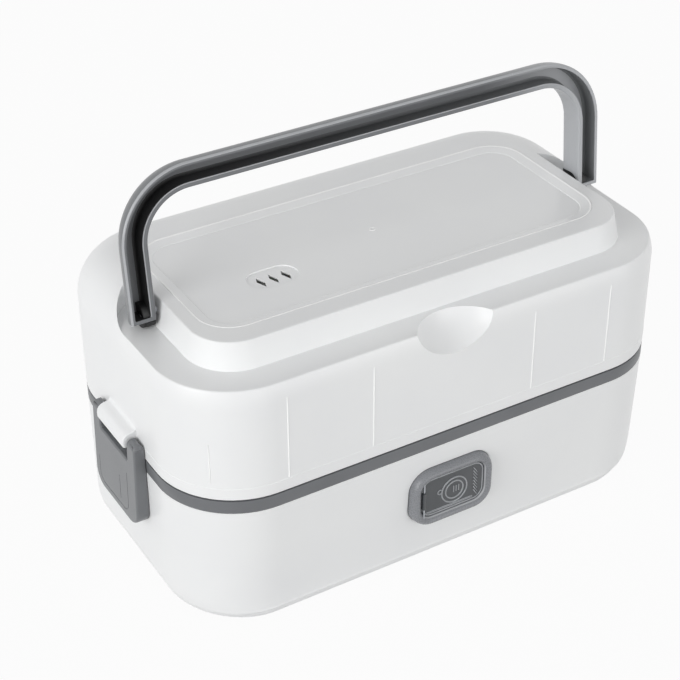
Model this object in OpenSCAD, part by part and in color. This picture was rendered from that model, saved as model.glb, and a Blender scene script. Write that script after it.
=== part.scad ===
// Electric lunch box with a folding carry handle and two end latches.
// Millimetres. X runs along the box, the front faces -Y, Z is up from the feet.

/* [Body] */
// Half length of the box at the grey band
half_x = 121.7; // [118:0.1:126]
// Half depth of the box at the grey band
half_y = 68.5; // [66:0.1:72]
// Radius of the four upright corners
corner_r = 36.7; // [36:0.1:38]
// Wall thickness of the white shells
wall = 2.4; // [2:0.1:2.6]
// Height of the feet below the lower shell
foot_drop = 0.8; // [0.6:0.1:1.2]
// Height where the grey band begins
band_z0 = 62.5; // [62:0.1:63]
// Height where the grey band ends
band_z1 = 69.5; // [69:0.1:70]
// Height of the flat top
top_z = 133.7; // [133.5:0.1:135]
// Radius of the rounded top edge
top_r = 20; // [18:0.5:21]
// Inward draft of the lower wall, from the band to the bottom rounding
base_draft = 2.2; // [1:0.1:3]
// Width of the bottom rounding
base_round = 6; // [5:0.5:7]
// Height of the bottom rounding
base_rise = 12; // [10:0.5:13]

/* [Lid ledge] */
// Height of the ledge that the folded handle lies on
ledge_z = 121.7; // [121.4:0.1:121.8]
// Half length of the raised middle of the lid
island_x = 106; // [105.5:0.1:106.1]
// How far the raised middle reaches forward
island_front = 53.4; // [52.5:0.1:53.5]
// Corner radius of the raised middle
island_r = 21.5; // [21:0.5:23]
// Radius of the raised middle's soft top edge
island_edge = 5; // [3:0.5:5]
// Where the ledge's rounded rear ends are centred along Y
pocket_y = -4; // [-5:0.5:-3]
// Radius of the ledge's rounded rear ends
pocket_r = 24; // [23.5:0.5:24]
// Radius of the finger scoop
scoop_r = 22.2; // [20:0.1:23]

/* [Top panel] */
// Half length of the top panel's rim
panel_x = 97.4; // [94:0.1:98]
// Half depth of the top panel's rim
panel_y = 40; // [38:0.1:41]
// Corner radius of the top panel's rim
panel_r = 16.2; // [14:0.1:18]
// Width of the sloping strip inside the rim
panel_strip = 5; // [4:0.1:6]
// Depth of the panel below the top
panel_drop = 1.4; // [0.8:0.1:1.6]
// Centre of the steam vent along X
vent_x = -54.6; // [-60:0.1:-50]
// Centre of the steam vent along Y
vent_y = -11.6; // [-15:0.1:-10]
// Distance between two vent slots
vent_pitch = 5.9; // [5:0.1:7]

/* [Handle] */
// Height of the handle's pivot
pivot_z = 127.8; // [127.7:0.1:128]
// Place of the handle's pivot along Y
pivot_y = -3.1; // [-3.4:0.1:-2.8]
// Backward lean of the raised handle in degrees
handle_lean = 5.7; // [4:0.1:6]
// Half length between the inner faces of the legs
handle_in = 106.6; // [106.5:0.1:106.8]
// Inner corner radius of the handle
handle_in_r = 20.4; // [20:0.1:20.8]
// Distance from the pivot to the underside of the grip
grip_under = 51.1; // [51:0.1:51.3]
// Width of the handle's section
handle_w = 11.1; // [10.8:0.1:11.6]
// Depth of the handle's section
handle_d = 11.7; // [11:0.1:11.7]
// Width of the lips beside the handle's channel
handle_lip = 1.9; // [1.6:0.1:2.4]
// Depth of the handle's channel
channel_d = 8; // [5:0.5:9]

/* [Latches] */
// Half width of a latch
latch_half = 20.2; // [19:0.1:21]
// Half width of the knuckle between a latch's ears
knuckle_half = 13.2; // [12:0.1:14]
// Height of the latch's hinge pin
latch_pin_z = 74.5; // [74:0.1:75]
// Distance of the latch's hinge pin from the middle of the box
latch_pin_x = 124.9; // [124.9:0.05:125.1]
// Half thickness of a latch
latch_t = 2.8; // [2.6:0.05:2.8]
// Height of the latch's lower edge
latch_z0 = 34; // [32:0.5:38]
// Height of the latch plate's upper edge between the ears
latch_z1 = 66.3; // [65:0.1:67]

/* [Power inlet] */
// Height of the inlet's centre
inlet_z = 36.8; // [36:0.1:38]
// Width of the grey surround
bezel_w = 41.8; // [40:0.1:44]
// Height of the grey surround
bezel_h = 29.4; // [28:0.1:30]
// Width of the opening in the surround
mouth_w = 33; // [32:0.1:34]
// Height of the opening in the surround
mouth_h = 20.6; // [20:0.1:21]

/* [Inside] */
// Outer corner radius of the heating tub at its top
tub_r = 28; // [27:0.1:28.5]
// Inward draft of the tub over its height
tub_draft = 5; // [4:0.1:6]
// Height of the underside of the tub
tub_z = 14; // [13.5:0.1:14.5]
// Wall thickness of the tub
tub_wall = 1.2; // [1:0.1:1.4]
// Wall thickness of the steel food container
steel = 0.8; // [0.6:0.1:0.9]
// Height of the upper tray
tray_h = 39; // [30:0.5:40]

/* [Hidden] */
$fn = 72;

big = 300;
eps = 0.02;
arc_steps = 8;
gap = 0.1;

core_x = half_x - corner_r;
core_y = half_y - corner_r;
foot_r = corner_r - base_draft - base_round;
floor_z = foot_drop + wall;
opening_r = 20;
shelf_r = 17;
shelf_t = 2.2;
tub_core_x = 80;
tub_core_y = 22;
rim_z = band_z0;
flange_t = 1.2;
lid_z = band_z1 + gap;
island_back = 46;
lip_r = corner_r - 2.9;
stop_r = lip_r - 1.6;
lip_top = band_z1 + 3.5;
roof_z = top_z - panel_drop - 1.4 - 2.2;
pivot_r = 5.7;
leg_low = -1.5;
channel_low = 0.2;

// Points on a quarter of an ellipse, from angle a0 to angle a1
function arc_points(cx, cy, rx, ry, a0, a1) =
    [for (i = [0:arc_steps]) let (a = a0 + (a1 - a0) * i / arc_steps) [cx + rx * cos(a), cy + ry * sin(a)]];

// How far the lower shell's outer wall stands from the corner centres at a height
function base_r(z) = corner_r - base_draft * (band_z0 - z) / (band_z0 - foot_drop - base_rise);

// Carries a section round the box: x is the distance out from the corner centres, y is the height
module around(cx = core_x, cy = core_y) {
    for (s = [-1, 1]) {
        translate([s * cx, s * cy, 0]) rotate([0, 0, 90 - 90 * s]) rotate_extrude(angle = 90) children();
        translate([-s * cx, s * cy, 0]) rotate([0, 0, 180 - 90 * s]) rotate_extrude(angle = 90) children();
        rotate([0, 0, 90 - 90 * s]) translate([cx, cy, 0]) rotate([90, 0, 0])
            linear_extrude(2 * cy) children();
        rotate([0, 0, 90 * s]) translate([cy, cx, 0]) rotate([90, 0, 0])
            linear_extrude(2 * cx) children();
    }
}

// The same, with the middle filled between two heights
module filled(z0, z1, cx = core_x, cy = core_y) {
    around(cx, cy) children();
    translate([-cx, -cy, z0]) cube([2 * cx, 2 * cy, z1 - z0]);
}

module rounded_area(hx, hy, r) {
    square([2 * (hx - r), 2 * hy], center = true);
    square([2 * hx, 2 * (hy - r)], center = true);
    for (sx = [-1, 1], sy = [-1, 1]) translate([sx * (hx - r), sy * (hy - r)]) circle(r);
}

// Flat plate with rounded corners
module plate(hx, hy, r, z0, z1) {
    translate([0, 0, z0]) linear_extrude(z1 - z0) rounded_area(hx, hy, r);
}

// Upright block with rounded corners, drawn in the front view
module front_block(hx, hz, r, y0, y1) {
    translate([0, y1, inlet_z]) rotate([90, 0, 0]) linear_extrude(y1 - y0) rounded_area(hx, hz, r);
}

// Section of the lower shell, inset by t
module base_section(t) {
    polygon(concat([[0, foot_drop + t]],
        arc_points(foot_r, foot_drop + base_rise, base_round - t, base_rise - t, -90, 0),
        [[corner_r - t, band_z0 + (t > 0 ? 1 : 0)], [0, band_z0 + (t > 0 ? 1 : 0)]]));
}

screw_spots = [[96.3, 43.1], [-96.3, 43.1], [96.3, -43.1], [-96.3, -43.1], [0, 47.8], [0, -47.8]];
foot_spots = [[84, 30], [-84, 30], [84, -30], [-84, -30]];
ridge_z = 47;
ridge_h = 3;
ridge_half = 12;
ridge_out = 122.9;

module base_shell() {
    color("white") difference() {
        union() {
            difference() {
                filled(foot_drop, band_z0) base_section(0);
                filled(floor_z, band_z0 + 1) base_section(wall);
            }
            around() translate([shelf_r, floor_z - eps]) square([opening_r + 2 - shelf_r, shelf_t]);
            around() polygon([[corner_r - wall - 2, rim_z - flange_t - 0.05],
                [corner_r - wall + 0.1, rim_z - flange_t - 0.05],
                [corner_r - wall + 0.1, rim_z - 6], [corner_r - wall - 0.4, rim_z - 6]]);
            for (p = screw_spots) translate([p[0], p[1], floor_z]) cylinder(h = 8, r = 3.6);
            for (s = [-1, 1]) translate([s * (ridge_out + half_x - 5) / 2, 0, ridge_z + ridge_h / 2])
                cube([ridge_out - half_x + 5, 2 * ridge_half, ridge_h], center = true);
        }
        plate(core_x + opening_r, core_y + opening_r, opening_r, 0, floor_z + eps);
        for (p = screw_spots) translate([p[0], p[1], 0]) cylinder(h = floor_z + 7, r = 1.3);
        front_block(bezel_w / 2 - 3, bezel_h / 2 - 3, 7.5, -big, -core_y - corner_r + 12);
    }
}

module bottom_cover() {
    color("dimgray") difference() {
        plate(core_x + opening_r - 0.2, core_y + opening_r - 0.2, opening_r - 0.2, foot_drop, floor_z - 0.05);
        for (p = screw_spots) translate([p[0], p[1], 0]) {
            cylinder(h = 10, r = 1.6);
            cylinder(h = foot_drop + 1.4, r = 3);
        }
        for (p = foot_spots) translate([p[0], p[1], 0]) cylinder(h = foot_drop + 1, r = 7);
        for (x = [-40:8:40]) translate([x - 1.5, -16, 0]) cube([3, 32, 10]);
    }
}

module rubber_feet() {
    color("black") for (p = foot_spots) translate([p[0], p[1], 0]) cylinder(h = foot_drop + 0.95, r = 6.95);
}

module bottom_screws() {
    color("silver") for (p = screw_spots) translate([p[0], p[1], 0]) difference() {
        union() {
            translate([0, 0, foot_drop + 0.1]) cylinder(h = 1.25, r = 2.7);
            translate([0, 0, foot_drop + 1.2]) cylinder(h = 7.6, r = 1.28);
        }
        for (a = [0, 90]) rotate([0, 0, a]) translate([-1.5, -0.25, 0]) cube([3, 0.5, foot_drop + 0.7]);
    }
}

module band_ring() {
    color("slategray") around() polygon([[stop_r, rim_z], [corner_r, rim_z], [corner_r, band_z1],
        [lip_r, band_z1], [lip_r, lip_top - 0.4], [lip_r - 0.4, lip_top], [stop_r, lip_top]]);
}

// Wall of a drafted vessel on the tub's corner centres
module vessel(r0, r1, z0, z1, t) {
    difference() {
        filled(z0, z1, tub_core_x, tub_core_y) polygon([[0, z0], [r0 - 3, z0], [r0 - 0.9, z0 + 0.9],
            [r0, z0 + 3], [r1, z1], [0, z1]]);
        filled(z0 + t, z1 + 1, tub_core_x, tub_core_y) polygon([[0, z0 + t], [r0 - 3 - 0.4 * t, z0 + t],
            [r0 - 0.9 - 0.7 * t, z0 + 0.9 + 0.7 * t], [r0 - t, z0 + 3 + 0.4 * t], [r1 - t, z1], [r1 - t, z1 + 1],
            [0, z1 + 1]]);
    }
}

module heating_tub() {
    color("lightgray") union() {
        vessel(tub_r - tub_draft, tub_r, tub_z, rim_z, tub_wall);
        difference() {
            plate(core_x + stop_r + 1.8, core_y + stop_r + 1.8, stop_r + 1.8, rim_z - flange_t, rim_z - eps);
            plate(tub_core_x + tub_r - 0.6, tub_core_y + tub_r - 0.6, tub_r - 0.6, 0, big);
        }
    }
}

plate_t = 2.4;
heat_z = tub_z - eps - plate_t;

module heating_plate() {
    color("silver") difference() {
        plate(62, 28, 8, heat_z, tub_z - eps);
        for (s = [-1, 1]) translate([s * 38, 0, heat_z - 1]) cylinder(h = plate_t, r = 1.3);
    }
}

module ptc_heater() {
    color("tan") translate([-28, -12, heat_z - 3.42]) cube([56, 24, 3.4]);
}

module insulation_pad() {
    color("beige") translate([-30, -13, heat_z - 4.24]) cube([60, 26, 0.8]);
}

module heater_clamp() {
    color("silver") difference() {
        union() {
            translate([-34, -9, heat_z - 5.26]) cube([68, 18, 1]);
            for (s = [-1, 1]) {
                translate([s * 33.5 - 0.5, -9, heat_z - 5.26]) cube([1, 18, 5.24]);
                translate([s * 38 - 5, -9, heat_z - 1.02]) cube([10, 18, 1]);
            }
        }
        for (s = [-1, 1]) translate([s * 38, 0, heat_z - 3]) cylinder(h = 4, r = 1.6);
    }
}

module clamp_screws() {
    color("silver") for (s = [-1, 1]) translate([s * 38, 0, heat_z]) {
        translate([0, 0, -2.9]) cylinder(h = 1.85, r = 2.6);
        translate([0, 0, -1.1]) cylinder(h = 2.4, r = 1.28);
    }
}

module thermostat() {
    color("saddlebrown") translate([52, 0, heat_z]) {
        translate([0, 0, -4.02]) cylinder(h = 4, r = 7);
        for (s = [-1, 1]) translate([-0.4, s * 3.5 - 2, -6.4]) cube([0.8, 4, 2.4]);
    }
}

module thermal_fuse() {
    color("white") translate([-52, 0, heat_z - 2.02]) rotate([90, 0, 0]) union() {
        translate([0, 0, -6]) cylinder(h = 12, r = 2);
        translate([0, 0, -11]) cylinder(h = 22, r = 0.5);
    }
}

lead_r = 0.9;
lead_y = -50.6;
lead_bend = 5;

// One wire from the inlet down the front of the tub and back under it
module lead(x, top, low, reach) {
    translate([x, lead_y, low + lead_bend]) cylinder(h = top - low - lead_bend, r = lead_r);
    translate([x, lead_y + lead_bend, low + lead_bend]) rotate([0, 90, 180])
        rotate_extrude(angle = 90) translate([lead_bend, 0]) circle(lead_r, $fn = 24);
    translate([x, lead_y + lead_bend, low]) rotate([-90, 0, 0]) cylinder(h = reach, r = lead_r);
}

module heater_leads() {
    color("firebrick") for (x = [-6, 6]) lead(x, 28.5, 8.5, 32);
}

socket_front = -62.8;
socket_back = -52.4;

module inlet_socket() {
    color("black") difference() {
        union() {
            front_block(17, 11.2, 4, socket_front - 0.6, socket_front + 1);
            front_block(14.5, 9, 3, socket_front, socket_back);
        }
        front_block(12, 6.6, 2, -big, socket_back - 1.5);
        for (x = [-7, 0, 7]) translate([x - 1.02, socket_back - 3, inlet_z - 2.02]) cube([2.04, 6, 4.04]);
    }
}

module inlet_pins() {
    color("gold") for (x = [-7, 0, 7]) translate([x - 1, socket_front + 1.6, inlet_z - 2])
        cube([2, socket_back - socket_front - 1, 4]);
}

bezel_front = -71.4;
bezel_r = 10.8;
bezel_dome = 3.6;
hinge_x = -15.3;
hinge_y = -70.3;
knuckle_r = 0.9;
cover_y = -67.8;
cover_t = 1.8;
mouth_r = 5.6;

// Domed surround: its section is drawn with the height running out of the front wall
module socket_bezel() {
    seat = base_r(inlet_z) + core_y - 0.2;
    color("gray") difference() {
        union() {
            rotate([90, 0, 0]) translate([0, inlet_z, 0])
                filled(seat, -bezel_front, bezel_w / 2 - bezel_r, bezel_h / 2 - bezel_r)
                    polygon(concat([[0, seat], [bezel_r, seat]],
                        arc_points(bezel_r - bezel_dome, seat + 1, bezel_dome, -bezel_front - seat - 1, 0, 90),
                        [[0, -bezel_front]]));
            front_block(bezel_w / 2 - 3.1, bezel_h / 2 - 3.1, 7.4, -seat - 1, socket_front - 0.65);
        }
        front_block(mouth_w / 2, mouth_h / 2, mouth_r, -big, big);
        translate([hinge_x, hinge_y, inlet_z - 9.4]) cylinder(h = 18.8, r = 0.47, $fn = 24);
        base_skin();
    }
}

// The outer face of the lower shell, as seen by the parts seated on it
module base_skin() {
    intersection() {
        difference() {
            filled(foot_drop, band_z0) base_section(-0.04);
            front_block(bezel_w / 2 - 3, bezel_h / 2 - 3, 7.5, -big, big);
        }
        translate([-30, -big, 10]) cube([60, big, 50]);
    }
}

module cover_hinge_pin() {
    color("silver") translate([hinge_x, hinge_y, inlet_z - 9.3]) cylinder(h = 18.6, r = 0.45, $fn = 24);
}

// Drawn closed: a plate sunk in the mouth, with an arm to the pin near the surround's front
module socket_cover() {
    front = cover_y - cover_t / 2;
    color("dimgray") difference() {
        union() {
            front_block(mouth_w / 2 - 0.3, mouth_h / 2 - 0.3, mouth_r - 0.3, front, front + cover_t);
            front_block(6.8, 6.8, 6.7, front - 0.3, cover_y);
            translate([hinge_x, hinge_y, inlet_z - 4.4]) cylinder(h = 8.8, r = knuckle_r);
            translate([hinge_x - knuckle_r, hinge_y, inlet_z - 4.4])
                cube([1.6, front + cover_t - hinge_y, 8.8]);
        }
        translate([hinge_x, hinge_y, inlet_z - 6]) cylinder(h = 12, r = 0.5, $fn = 24);
        front_block(4.9, 4.9, 4.8, front - 1, front);
        for (i = [0:6]) translate([9.6 + 0.9 * i, front - 0.1, inlet_z]) rotate([0, 25, 0])
            cube([0.35, 0.5, 11], center = true);
    }
}

can_z = tub_z + tub_wall + 0.6;
can_r = tub_r - tub_wall - 0.7;

module food_container() {
    color("silver") union() {
        vessel(can_r - tub_draft + 0.2, can_r, can_z, rim_z + 0.9, steel);
        difference() {
            plate(tub_core_x + 34, tub_core_y + 34, 34, rim_z + gap, rim_z + 0.9);
            plate(tub_core_x + can_r - steel / 2, tub_core_y + can_r - steel / 2, can_r - steel / 2, 0, big);
        }
    }
}

cover_z = rim_z + 1;
plug_r = can_r - steel - 1;

module container_lid() {
    color("whitesmoke") difference() {
        union() {
            filled(cover_z, cover_z + 1.8, tub_core_x, tub_core_y) polygon([[0, cover_z], [33, cover_z],
                [33.4, cover_z + 1.8], [0, cover_z + 1.8]]);
            around(tub_core_x, tub_core_y) polygon([[30.6, cover_z + 1.7], [33.4, cover_z + 1.7],
                [32.6, cover_z + 4], [31, cover_z + 4]]);
            around(tub_core_x, tub_core_y) polygon([[plug_r - 2.2, cover_z + 0.1], [plug_r - 2.2, cover_z - 5],
                [plug_r, cover_z - 5], [plug_r, cover_z - 3.4], [plug_r - 0.9, cover_z - 3.4],
                [plug_r - 0.9, cover_z - 1.4], [plug_r, cover_z - 1.4], [plug_r, cover_z + 0.1]]);
        }
        translate([0, 0, cover_z - 1]) cylinder(h = 5, r = 4.05);
    }
}

module container_seal() {
    color("gainsboro") around(tub_core_x, tub_core_y) polygon([[plug_r - 0.88, cover_z - 3.38],
        [plug_r, cover_z - 3.38], [plug_r + 0.6, cover_z - 2.4], [plug_r, cover_z - 1.42],
        [plug_r - 0.88, cover_z - 1.42]]);
}

module steam_plug() {
    color("gray") translate([0, 0, cover_z]) {
        translate([0, 0, -0.8]) cylinder(h = 2.8, r = 4);
        translate([0, 0, 1.85]) cylinder(h = 1.2, r = 7);
    }
}

tray_z = cover_z + 1.9;
tray_r = 27.5;

module upper_tray() {
    color("whitesmoke") union() {
        vessel(tray_r - 2.4, tray_r, tray_z + 4.4, tray_z + tray_h, 1.6);
        around(tub_core_x, tub_core_y) translate([18.5, tray_z]) square([2, 5]);
        around(tub_core_x, tub_core_y) translate([tray_r - 0.8, tray_z + tray_h - 1.6]) square([3.3, 1.6]);
    }
}

// Section of the lid from its corner centres, inset by t
module lid_section(t, z0) {
    intersection() {
        union() {
            translate([0, z0]) square([corner_r - t, top_z - top_r - z0]);
            translate([0, z0]) square([corner_r - top_r, top_z - t - z0]);
            translate([corner_r - top_r, top_z - top_r]) circle(top_r - t);
        }
        translate([0, z0]) square([corner_r, big]);
    }
}

// The space over the ledge, before the raised middle is put back; t makes it larger
module ledge_space(t) {
    translate([-big, -big, ledge_z - t]) cube([2 * big, big + pocket_y + t, big]);
    for (s = [-1, 1]) translate([s * (half_x - 1.7 - pocket_r), pocket_y, ledge_z - t])
        cylinder(h = big, r = pocket_r + t);
}

// The raised middle of the lid, inset by t
module island(t, z0, z1, edge) {
    translate([0, (island_back - island_front) / 2, 0])
        filled(z0, z1, island_x - island_r, (island_back + island_front) / 2 - island_r)
        intersection() {
            union() {
                translate([0, z0]) square([island_r - t, z1 - edge - z0]);
                translate([0, z0]) square([island_r - edge - t, z1 - z0]);
                translate([island_r - edge - t, z1 - edge]) circle(edge);
            }
            translate([0, z0]) square([big, big]);
        }
}

module scoop(t) {
    translate([0, -76.6, 128.8]) sphere(r = scoop_r + t);
}

knuckle_out = latch_pin_x + 3.3;

module knuckle() {
    translate([0, knuckle_half, 0]) rotate([90, 0, 0]) linear_extrude(2 * knuckle_half)
        polygon([[half_x - 1, latch_pin_z - 2.2], [knuckle_out - 0.8, latch_pin_z - 2.2],
            [knuckle_out, latch_pin_z - 1.2], [knuckle_out - 0.3, latch_pin_z + 0.6],
            [half_x, latch_pin_z + 4.2], [half_x - 1, latch_pin_z + 4.2]]);
}

module lid_hollow() {
    difference() {
        union() {
            intersection() {
                filled(lid_z - 1, top_z - wall) lid_section(wall, lid_z - 1);
                translate([-big, -big, 0]) cube([2 * big, 2 * big, ledge_z - wall]);
            }
            difference() {
                intersection() {
                    filled(lid_z - 1, top_z - wall) lid_section(wall, lid_z - 1);
                    translate([-big, -big, 0]) cube([2 * big, 2 * big, roof_z]);
                }
                ledge_space(wall);
            }
            translate([0, (island_back - island_front) / 2, 0])
                plate(island_x - wall, (island_back + island_front) / 2 - wall, island_r - wall,
                    ledge_z - wall - 1, roof_z);
        }
        scoop(wall);
        for (s = [-1, 1]) translate([s * (island_x - 5), pivot_y, pivot_z]) rotate([0, 90, 0])
            cylinder(h = 10, r = 4, center = true);
    }
}

module upper_shell() {
    color("white") difference() {
        union() {
            difference() {
                filled(lid_z, top_z) lid_section(0, lid_z);
                ledge_space(0);
            }
            island(0, ledge_z - 5, top_z, island_edge);
            for (s = [0, 1]) mirror([s, 0, 0]) knuckle();
        }
        lid_hollow();
        scoop(0);
        translate([0, -1, 0]) plate(panel_x, panel_y, panel_r, top_z - panel_drop - 1.4, top_z + 1);
        translate([vent_x, vent_y, 0]) plate(9.5, 5, 2, 0, big);
        for (s = [-1, 1]) {
            translate([s * (island_x - 4), pivot_y, pivot_z]) rotate([0, 90, 0])
                cylinder(h = 9, r = 2.02, center = true);
            translate([s * latch_pin_x, 0, latch_pin_z]) rotate([90, 0, 0])
                cylinder(h = 50, r = 1.42, center = true);
        }
    }
}

module vent_slot() {
    translate([0, 0, top_z - 10]) linear_extrude(20)
        polygon([[0, 4.15], [1.9, -0.75], [0.7, -4.15], [-1.2, 0.75]]);
}

module top_panel() {
    panel_z = top_z - panel_drop;
    low = panel_z - 1.35;
    color("lightgray") translate([0, -1, 0]) difference() {
        filled(low, panel_z, panel_x - panel_r, panel_y - panel_r) polygon([[0, low], [panel_r - 0.05, low],
            [panel_r - 0.05, top_z], [panel_r - 0.4, top_z + 0.15], [panel_r - 0.9, top_z],
            [panel_r - panel_strip, panel_z], [0, panel_z]]);
        translate([vent_x, vent_y + 1, 0]) {
            plate(11.5, 7, 6.9, panel_z - 0.6, top_z + 1);
            for (i = [-1, 0, 1]) translate([i * vent_pitch - 0.3, -0.7, 0]) vent_slot();
        }
    }
}

module steam_baffle() {
    color("whitesmoke") translate([vent_x, vent_y, 0]) difference() {
        plate(14, 9, 3, roof_z - 5, roof_z - eps);
        plate(12.6, 7.6, 1.6, roof_z - 3.6, roof_z + 1);
        for (s = [-1, 1]) translate([s * 13, 0, roof_z - 2]) cube([4, 8, 2.4], center = true);
    }
}

module lid_gasket() {
    color("gainsboro") around() polygon([[stop_r + 0.4, lip_top + 0.3], [corner_r - wall - 0.06, lip_top + 0.3],
        [corner_r - wall - 0.06, lip_top + 3], [stop_r + 1, lip_top + 3]]);
}

module latch_pin(s) {
    color("silver") translate([s * latch_pin_x, 0.6, latch_pin_z]) rotate([90, 0, 0])
        cylinder(h = 38.8, r = 1.4, center = true);
}

module latch_pin_left() {
    latch_pin(-1);
}

module latch_pin_right() {
    latch_pin(1);
}

module handle_pins() {
    color("silver") for (s = [-1, 1]) translate([s * (island_x - 0.9 + 2.5), pivot_y, pivot_z])
        rotate([0, 90, 0]) cylinder(h = 7.6, r = 2, center = true);
}

// Puts parts drawn upright about the pivot at their place and lean
module on_pivot() {
    translate([0, pivot_y, pivot_z]) rotate([-handle_lean, 0, 0]) children();
}

// Arch seen from the front, as a flat area: x along the box, y up from the pivot
module arch(out, up, r, low) {
    translate([-out, low]) square([2 * out, up - r - low]);
    translate([-(out - r), low]) square([2 * (out - r), up - low]);
    for (s = [-1, 1]) translate([s * (out - r), up - r]) circle(r);
}

module arch_band(o0, u0, r0, o1, u1, r1, low) {
    difference() {
        arch(o1, u1, r1, low);
        arch(o0, u0, r0, low - 10);
    }
}

module handle_frame() {
    out = handle_in + handle_w;
    up = grip_under + handle_w;
    out_r = handle_in_r + handle_w;
    color("gray") on_pivot() difference() {
        translate([0, handle_d - pivot_r, 0]) rotate([90, 0, 0]) linear_extrude(handle_d)
            arch_band(handle_in, grip_under, handle_in_r, out, up, out_r, leg_low);
        translate([0, channel_d - pivot_r, 0]) rotate([90, 0, 0]) linear_extrude(channel_d + 1)
            arch_band(handle_in + 3, grip_under + handle_lip, handle_in_r + handle_lip,
                out - handle_lip - 0.5, up - handle_lip - 1, out_r - handle_lip - 0.5, channel_low);
        for (s = [-1, 1]) hub_seat(s);
    }
}

hub_in = 0.1;
hub_x0 = handle_in + hub_in;
hub_x1 = handle_in + 5.4;

// Room for a hub in the foot of a leg, behind a thin front skin
module hub_seat(s) {
    translate([s * (hub_x0 + hub_x1) / 2 - s * 1, 0, 0]) rotate([0, 90, 0])
        cylinder(h = hub_x1 - hub_x0 + 2.1, r = 4.85, center = true);
    translate([s * (hub_x0 + hub_x1) / 2 - s * 1 - (hub_x1 - hub_x0 + 2.1) / 2, -4.85, -10])
        cube([hub_x1 - hub_x0 + 2.1, 20, 10]);
    translate([s * (hub_x0 + hub_x1) / 2 - s * 1 - (hub_x1 - hub_x0 + 2.1) / 2, 0, -4.85])
        cube([hub_x1 - hub_x0 + 2.1, 20, 9.7]);
}

module handle_hubs() {
    color("black") on_pivot() for (s = [-1, 1]) translate([s * (hub_x0 + hub_x1) / 2, 0, 0]) difference() {
        union() {
            rotate([0, 90, 0]) cylinder(h = hub_x1 - hub_x0, r = 4.8, center = true);
            intersection() {
                rotate([0, 90, 0]) cylinder(h = hub_x1 - hub_x0, r = 5.7, center = true);
                translate([-10, -10, -10]) cube([20, 20, 10 + leg_low - 0.05]);
            }
            translate([-(hub_x1 - hub_x0) / 2, 0, -4.8]) cube([hub_x1 - hub_x0, handle_d - pivot_r, 9.6]);
        }
        rotate([0, 90, 0]) cylinder(h = 20, r = 2.05, center = true);
    }
}

latch_skin = 1.8;
hook_in = 123.4;

// Drawn at the +X end, closed
module latch() {
    difference() {
        union() {
            translate([latch_pin_x - latch_t, 0, 0]) rotate([0, 90, 0]) linear_extrude(2 * latch_t)
                difference() {
                    translate([-(latch_pin_z + latch_z0) / 2, 0])
                        rounded_area((latch_pin_z - latch_z0) / 2, latch_half, 7);
                    translate([-latch_pin_z - 1, -latch_half - 1])
                        square([8, 2 * latch_half + 2]);
                }
            for (s = [-1, 1]) translate([latch_pin_x, s * (latch_half + knuckle_half + 0.3) / 2, latch_pin_z]) {
                rotate([90, 0, 0]) cylinder(h = latch_half - knuckle_half - 0.3, r = latch_t, center = true);
                translate([-latch_t, -(latch_half - knuckle_half - 0.3) / 2, -8])
                    cube([2 * latch_t, latch_half - knuckle_half - 0.3, 8]);
            }
        }
        translate([latch_pin_x - 10, -knuckle_half - 0.3, latch_z1]) cube([20, 2 * knuckle_half + 0.6, 20]);
        translate([latch_pin_x - latch_t - 1, -latch_half + latch_skin, latch_z0 + 5.5])
            cube([2 * latch_t + 1 - latch_skin, 2 * (latch_half - latch_skin), latch_z1 - 1.8 - latch_z0 - 5.5]);
        translate([half_x, -ridge_half - 0.6, latch_z0 - 1])
            cube([hook_in - 0.3 - half_x, 2 * ridge_half + 1.2, 8]);
        translate([latch_pin_x, latch_half - 0.4, latch_pin_z]) rotate([90, 0, 0])
            cylinder(h = 39.3, r = 1.45);
        translate([latch_pin_x, latch_half + 1, latch_pin_z]) rotate([90, 0, 0]) cylinder(h = 3, r = 1.45);
    }
    translate([hook_in, -ridge_half, ridge_z - 3.6])
        cube([latch_pin_x + latch_t - latch_skin + 0.1 - hook_in, 2 * ridge_half, 3.2]);
}

module latch_left() {
    color("gray") mirror([1, 0, 0]) latch();
}

module latch_right() {
    color("gray") latch();
}

base_shell();
bottom_cover();
rubber_feet();
bottom_screws();
band_ring();
heating_tub();
heating_plate();
ptc_heater();
insulation_pad();
heater_clamp();
clamp_screws();
thermostat();
thermal_fuse();
heater_leads();
inlet_socket();
inlet_pins();
socket_bezel();
cover_hinge_pin();
socket_cover();
food_container();
container_lid();
container_seal();
steam_plug();
upper_tray();
upper_shell();
top_panel();
steam_baffle();
lid_gasket();
latch_pin_left();
latch_pin_right();
handle_pins();
handle_frame();
handle_hubs();
latch_left();
latch_right();
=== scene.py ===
# Electric lunch box: smooth visible pieces, finishes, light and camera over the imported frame.
# Blender works in metres here; the sizes in the dictionaries are millimetres.
import math

import bmesh
import bpy
from mathutils import Matrix, Vector


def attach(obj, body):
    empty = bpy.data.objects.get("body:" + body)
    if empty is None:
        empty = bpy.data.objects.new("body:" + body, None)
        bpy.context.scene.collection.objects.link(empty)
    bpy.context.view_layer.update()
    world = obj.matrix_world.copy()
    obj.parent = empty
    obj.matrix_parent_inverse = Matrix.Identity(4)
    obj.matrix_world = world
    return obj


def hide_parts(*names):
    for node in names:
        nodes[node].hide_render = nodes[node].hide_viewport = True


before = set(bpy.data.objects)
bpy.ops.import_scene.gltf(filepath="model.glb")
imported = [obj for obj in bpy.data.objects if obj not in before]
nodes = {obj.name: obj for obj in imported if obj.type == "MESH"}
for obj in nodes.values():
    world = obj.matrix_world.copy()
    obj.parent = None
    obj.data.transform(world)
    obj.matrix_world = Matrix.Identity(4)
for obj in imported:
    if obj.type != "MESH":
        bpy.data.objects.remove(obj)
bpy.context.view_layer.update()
mm = 0.001
print("frame loaded:", len(nodes), "nodes")

# The upright corners of both shells turn about these four centres
shellCore = (85.0, 31.8)
cornerSteps = 18
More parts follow.
